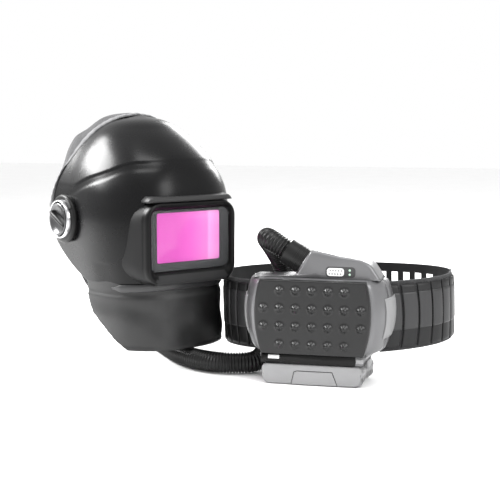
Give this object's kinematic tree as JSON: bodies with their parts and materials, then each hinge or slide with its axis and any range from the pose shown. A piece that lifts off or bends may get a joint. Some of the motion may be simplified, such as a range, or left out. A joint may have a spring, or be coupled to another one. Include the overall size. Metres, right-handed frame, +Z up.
{
  "type": "powered air respirator",
  "caption": "Welding helmet with a tinted auto-darkening window, joined by a corrugated breathing tube to a belt-worn blower unit.",
  "frame": {"origin": "centre of the base of the set's box, on the surface that it stands on, measured without the breathing tube and its cuffs", "axes": "+X runs from the helmet to the blower, +Y points away from the blower's filter cover, +Z is up"},
  "size_m": [0.6384, 0.3062, 0.3725],
  "materials": {
    "shell_black": "satin moulded",
    "brow_grey": "fine texture",
    "clear_plate": "clear polycarbonate",
    "lens_magenta": "mirror coated filter",
    "bezel_grey": "fine texture",
    "pivot_black": "fine texture",
    "ring_silver": "satin plated",
    "bolt_steel": "zinc plated",
    "curtain_black": "coated cloth",
    "cover_grey": "heather weave",
    "harness_grey": "moulded",
    "pad_foam": "soft towelling",
    "duct_black": "moulded",
    "slider_orange": "moulded",
    "tube_black": "corrugated",
    "body_silver": "metallic",
    "cover_black": "soft satin",
    "button_white": "printed",
    "light_green": "translucent",
    "filter_paper": "pleated",
    "cell_blue": "sleeved",
    "board_green": "solder mask",
    "fan_grey": "moulded",
    "belt_black": "ribbed"
  },
  "bodies": {
    "harness": {"headband": "harness_grey", "rear_pad": "pad_foam", "brow_pad": "pad_foam", "crown_straps": "harness_grey", "harness_arms": "harness_grey", "ratchet_housing": "harness_grey", "pivot_bolts": "bolt_steel", "air_duct": "duct_black", "head_cover": "cover_grey", "hose_socket": "duct_black", "breathing_tube": "tube_black", "tube_seals": "tube_black", "outlet_spigot": "duct_black", "front_housing": "body_silver", "rear_housing": "body_silver", "turret_cover": "body_silver", "control_panel": "cover_black", "status_lights": "light_green", "fan_volute": "fan_grey", "fan_motor": "bolt_steel", "circuit_board": "board_green", "housing_screws": "bolt_steel", "name_strip": "cover_black", "filter_seal": "tube_black", "belt_wing_left": "belt_black", "belt_wing_right": "belt_black", "rear_strap_left": "belt_black", "rear_strap_right": "belt_black", "belt_buckle": "belt_black"},
    "shield": {"shield_shell": "shell_black", "visor_frame": "shell_black", "brow_bar": "brow_grey", "cover_plate": "clear_plate", "lens_bezel": "bezel_grey", "filter_glass": "lens_magenta", "arc_sensors": "bezel_grey", "filter_cartridge": "bezel_grey", "inner_cover_plate": "clear_plate", "chin_trim": "shell_black", "chin_curtain": "curtain_black", "pivot_bases": "pivot_black", "knob_rings": "ring_silver"},
    "knob_left": {"pivot_knob_left": "pivot_black"},
    "knob_right": {"pivot_knob_right": "pivot_black"},
    "mode_button": {"mode_button": "button_white"},
    "ratchet_knob": {"ratchet_knob": "harness_grey"},
    "rack_left": {"rack_left": "harness_grey"},
    "rack_right": {"rack_right": "harness_grey"},
    "airflow_slider": {"airflow_slider": "slider_orange"},
    "cuff_unit": {"tube_cuff_unit": "tube_black"},
    "cuff_helmet": {"tube_cuff_helmet": "tube_black"},
    "filter_drawer": {"filter_cover": "cover_black", "spark_arrestor": "bolt_steel", "particle_filter": "filter_paper"},
    "battery": {"battery_case": "body_silver", "battery_cells": "cell_blue"},
    "battery_latch": {"battery_latch": "body_silver"},
    "power_button": {"power_button": "button_white"},
    "impeller": {"fan_impeller": "fan_grey"},
    "buckle_button": {"buckle_button": "belt_black"}
  },
  "joints": [
    {"name": "shield_raise", "type": "hinge", "parent": "harness", "child": "shield", "pos_m": [-0.18327, 0.01886, 0.2215], "axis": [-0.6347, -0.7727, 0], "range_deg": [0, 55]},
    {"name": "knob_left_turn", "type": "hinge", "parent": "shield", "child": "knob_left", "pos_m": [-0.10425, 0.11507, 0.2215], "axis": [0.6347, 0.7727, 0], "range_deg": [0, 90]},
    {"name": "knob_right_turn", "type": "hinge", "parent": "shield", "child": "knob_right", "pos_m": [-0.26229, -0.07734, 0.2215], "axis": [-0.6347, -0.7727, 0], "range_deg": [0, 90]},
    {"name": "mode_press", "type": "slide", "parent": "shield", "child": "mode_button", "axis": [0.7727, -0.6347, 0], "range_m": [0, 0.0004], "stiffness_N_per_m": 1500},
    {"name": "ratchet_turn", "type": "hinge", "parent": "harness", "child": "ratchet_knob", "pos_m": [-0.26363, 0.08487, 0.2455], "axis": [-0.7727, 0.6347, 0], "range_deg": [0, 75]},
    {"name": "rack_left_slide", "type": "slide", "parent": "harness", "child": "rack_left", "axis": [0.6347, 0.7727, 0], "range_m": [0, 0.0066]},
    {"name": "rack_right_slide", "type": "slide", "parent": "harness", "child": "rack_right", "axis": [-0.6347, -0.7727, 0], "range_m": [0, 0.0066]},
    {"name": "airflow_slide", "type": "slide", "parent": "harness", "child": "airflow_slider", "axis": [0.7727, -0.6347, 0], "range_m": [0, 0.01]},
    {"name": "cuff_unit_twist", "type": "hinge", "parent": "harness", "child": "cuff_unit", "pos_m": [0.11533, -0.09214, 0.1696], "axis": [-0.8517, 0, 0.524], "range_deg": [0, 35]},
    {"name": "cuff_helmet_twist", "type": "hinge", "parent": "harness", "child": "cuff_helmet", "pos_m": [-0.27291, 0.09249, 0.1875], "axis": [-0.3864, 0.3174, -0.866], "range_deg": [0, 35]},
    {"name": "filter_pull", "type": "slide", "parent": "harness", "child": "filter_drawer", "axis": [0, -1, 0], "range_m": [0, 0.06]},
    {"name": "battery_drop", "type": "slide", "parent": "harness", "child": "battery", "axis": [0, 0, -1], "range_m": [0, 0.04]},
    {"name": "latch_press", "type": "slide", "parent": "harness", "child": "battery_latch", "axis": [0, 0, 1], "range_m": [0, 0.003], "stiffness_N_per_m": 900},
    {"name": "power_press", "type": "slide", "parent": "harness", "child": "power_button", "axis": [0, 1, 0], "range_m": [0, 0.0012], "stiffness_N_per_m": 1500},
    {"name": "impeller_spin", "type": "hinge", "parent": "harness", "child": "impeller", "pos_m": [0.13423, -0.08414, 0.092], "axis": [0, 1, 0], "continuous": true},
    {"name": "buckle_press", "type": "slide", "parent": "harness", "child": "buckle_button", "axis": [0, -1, 0], "range_m": [0, 0.002], "stiffness_N_per_m": 1500}
  ],
  "couplings": [
    {"joint": "rack_left_slide", "follows": "ratchet_turn", "m_per_rad": 0.005},
    {"joint": "rack_right_slide", "follows": "ratchet_turn", "m_per_rad": 0.005}
  ]
}
